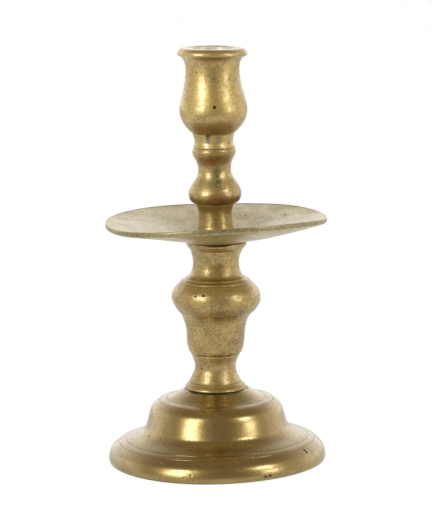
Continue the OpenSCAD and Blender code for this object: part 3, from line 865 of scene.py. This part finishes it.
# the lip is worn lower on its right
for v in socket_mesh.verts:
    right = max(0.0, v.co.x / MM / 18.75)
    v.co.z -= 0.5 * MM * right * eased(v.co.z / MM, 216, 223)
socket_skin_tree = BVHTree.FromBMesh(socket_mesh)
socket_pits = (
    (-108.5, 217.3, 0.8, 0.12), (-85.9, 217.3, 0.8, 0.15), (-62.3, 216.6, 0.6, 0.1),
    (-110, 189.1, 0.9, 0.2), (-124.9, 204.5, 0.8, 0.2), (-38.5, 174.3, 1.1, 0.3),
    (-116, 188, 0.7, 0.2), (-100, 190, 0.7, 0.2),
)
# The red films at 182 to 196 mm on the underside and lower belly of the cup are a painted warm
# reflection of the pan and painted shade; the other films are real tarnish, solder, verdigris and
# dirt.
socket_stains = (
    ("dirt_and_painted_shade", -105.8, 178.4, 2.2, 0.7), ("solder", -107, 176.4, 1.8, 0.9),
    ("solder", -107.5, 174.6, 1.8, 0.8), ("solder", -107.5, 172.9, 1.7, 0.7),
    ("verdigris", -75.2, 176.5, 3.2, 0.7), ("verdigris", -88.3, 208.8, 2.6, 0.6),
    ("verdigris", -94.5, 212.5, 4, 0.4), ("copper_and_painted_shade", -60, 186, 8, 0.45), ("copper_and_painted_shade", -120, 183, 7, 0.45),
    ("copper_and_painted_shade", -92, 182, 7, 0.5), ("copper_and_painted_shade", -15, 196, 8, 0.4), ("copper_and_painted_shade", -160, 190, 7, 0.3),
    ("pores", -115, 187, 8, 0.5), ("pores", -88, 209, 5, 0.6), ("pores", -100, 214, 8, 0.3),
)
wear(
    socket_mesh,
    [(*skin_at(socket_skin_tree, angle, z), wide, deep) for angle, z, wide, deep in socket_pits],
    [(film, skin_at(socket_skin_tree, angle, z)[0], *rest) for film, angle, z, *rest in socket_stains],
)
# old wax and lime on the wall of the bore
for v in socket_mesh.verts:
    if radius(v) < 12 and v.co.z > 188 * MM:
        v[socket_mesh.verts.layers.float["wax"]] = 0.9
brass_of_socket = old_brass(
    "turned_cast_brass_yellow", "#CFB778", "#907840", 0.35, 0.4, 0.16, 0.07
)
socket = add_piece(
    "candle_cup", socket_mesh, brass_of_socket, "top", ["candle_socket"]
)


def drill(piece, start, way, width, length):
    """Cuts a round hole from start along way, and throws the drill away."""
    bit_mesh = bmesh.new()
    bmesh.ops.create_cone(
        bit_mesh, cap_ends=True, segments=32, radius1=width / 2, radius2=width / 2, depth=length
    )
    middle = start + way * length / 2
    bit_mesh.transform(Matrix.Translation(middle) @ way.to_track_quat("Z", "Y").to_matrix().to_4x4())
    bit_data = bpy.data.meshes.new("drill")
    bit_mesh.to_mesh(bit_data)
    bit_mesh.free()
    bit = bpy.data.objects.new("drill", bit_data)
    bpy.context.scene.collection.objects.link(bit)
    cut = piece.modifiers.new("drill", "BOOLEAN")
    cut.object = bit
    cut.solver = "EXACT"
    shape = piece.evaluated_get(bpy.context.evaluated_depsgraph_get())
    drilled = bpy.data.meshes.new_from_object(shape)
    piece.modifiers.clear()
    drilled.set_sharp_from_angle(angle=math.radians(50))
    piece.data = drilled
    bpy.data.objects.remove(bit)


hole_turn = math.radians(-87.6)
inward = Vector((-math.cos(hole_turn), -math.sin(hole_turn), 0))
hole_start = -inward * 19 * MM + Vector((0, 0, 194.4 * MM))
drill(socket, hole_start, inward, 1.7 * MM, 12 * MM)


# The floor is a wide white sheet that ends a short way in front of the object, where the
# dim studio begins. The camera sees it white, and it keeps a faint shadow of the foot.
PAPER_FRONT = 0.42
floor_mesh = bmesh.new()
bmesh.ops.create_grid(floor_mesh, x_segments=1, y_segments=1, size=6)
for v in floor_mesh.verts:
    v.co.y = max(v.co.y, -PAPER_FRONT)
floor_data = bpy.data.meshes.new("floor")
floor_mesh.to_mesh(floor_data)
floor_mesh.free()
white_paper = bpy.data.materials.new("white_paper")
white_paper.use_nodes = True
paper_tree = white_paper.node_tree
paper_shader = paper_tree.nodes["Principled BSDF"]
paper_shader.inputs["Base Color"].default_value = linear("#F4F4F2")
paper_shader.inputs["Roughness"].default_value = 0.9
paper_shader.inputs["Specular IOR Level"].default_value = 0.0
rays = add_node(paper_tree, "ShaderNodeLightPath")
mirrored = add_node(
    paper_tree, "ShaderNodeMath", [("operation", "MAXIMUM")],
    [(0, rays.outputs["Is Glossy Ray"]), (1, rays.outputs["Is Transmission Ray"])],
)
mirrored_share = add_node(
    paper_tree, "ShaderNodeMath", [("operation", "MULTIPLY"), (1, 0.62)],
    [(0, mirrored.outputs[0])],
)
seen_share = add_node(
    paper_tree, "ShaderNodeMath", [("operation", "MULTIPLY_ADD"), (1, 0.92)],
    [(0, rays.outputs["Is Camera Ray"]), (2, mirrored_share.outputs[0])],
)
paper_glow = add_node(
    paper_tree, "ShaderNodeEmission", [("Color", (1, 1, 1, 1)), ("Strength", 1.045)]
)
paper_mix = add_node(
    paper_tree, "ShaderNodeMixShader", [],
    [(0, seen_share.outputs[0]), (1, paper_shader.outputs[0]), (2, paper_glow.outputs[0])],
)
paper_tree.links.new(
    paper_mix.outputs[0], paper_tree.nodes["Material Output"].inputs["Surface"]
)
floor_data.materials.append(white_paper)
floor = bpy.data.objects.new("floor", floor_data)
bpy.context.scene.collection.objects.link(floor)


# The studio is a white sweep behind and beside the object, and a dim warm room in front
# of it and overhead. Two softboxes stand to the left and the right of the camera.
world = bpy.data.worlds.new("studio")
bpy.context.scene.world = world
world.use_nodes = True
sky = world.node_tree
look = add_node(sky, "ShaderNodeTexCoord").outputs["Generated"]
look_axes = add_node(sky, "ShaderNodeSeparateXYZ", [], [(0, look)])
behind = add_node(
    sky, "ShaderNodeMapRange",
    [("interpolation_type", "SMOOTHSTEP"), ("From Min", -0.45), ("From Max", 0.6)],
    [("Value", look_axes.outputs["Y"])],
)
overhead = add_node(
    sky, "ShaderNodeMapRange",
    [("interpolation_type", "SMOOTHSTEP"), ("From Min", 0.25), ("From Max", 0.9)],
    [("Value", look_axes.outputs["Z"])],
)
around = add_node(
    sky, "ShaderNodeMix",
    [("data_type", "RGBA"), (6, (0.34, 0.282, 0.2, 1)), (7, (1.4, 1.4, 1.4, 1))],
    [(0, behind.outputs[0])],
)
room = add_node(
    sky, "ShaderNodeMix", [("data_type", "RGBA"), (7, (0.34, 0.282, 0.2, 1))],
    [(0, overhead.outputs[0]), (6, around.outputs[2])],
)
sky_rays = add_node(sky, "ShaderNodeLightPath")
backdrop = add_node(
    sky, "ShaderNodeMix", [("data_type", "RGBA"), (7, (1, 1, 1, 1))],
    [(0, sky_rays.outputs["Is Camera Ray"]), (6, room.outputs[2])],
)
sky.links.new(backdrop.outputs[2], sky.nodes["Background"].inputs["Color"])
sky.nodes["Background"].inputs["Strength"].default_value = 1.0


def add_softbox(name, azimuth, elevation, width, height, radiance):
    """A softbox 1.3 m from the stem; azimuth 0 is over the camera and plus is to its right."""
    a, e = math.radians(azimuth), math.radians(elevation)
    away = Vector((math.sin(a) * math.cos(e), -math.cos(a) * math.cos(e), math.sin(e)))
    lamp = bpy.data.lights.new(name, "AREA")
    lamp.shape = "RECTANGLE"
    lamp.color = (0.93, 0.97, 1.0)
    lamp.size = width
    lamp.size_y = height
    lamp.energy = radiance * math.pi * width * height
    box = bpy.data.objects.new(name, lamp)
    box.matrix_world = (
        Matrix.Translation(Vector((0, 0, 0.13)) + away * 1.3)
        @ away.to_track_quat("Z", "Y").to_matrix().to_4x4()
    )
    bpy.context.scene.collection.objects.link(box)
    return box


add_softbox("softbox_left", -45, 22, 0.44, 0.78, 8.5)
add_softbox("softbox_right_low", 58, 8, 0.38, 0.3, 6.5)
add_softbox("softbox_right_high", 56, 32, 0.38, 0.36, 9.0)

bpy.context.scene.view_settings.view_transform = "Standard"
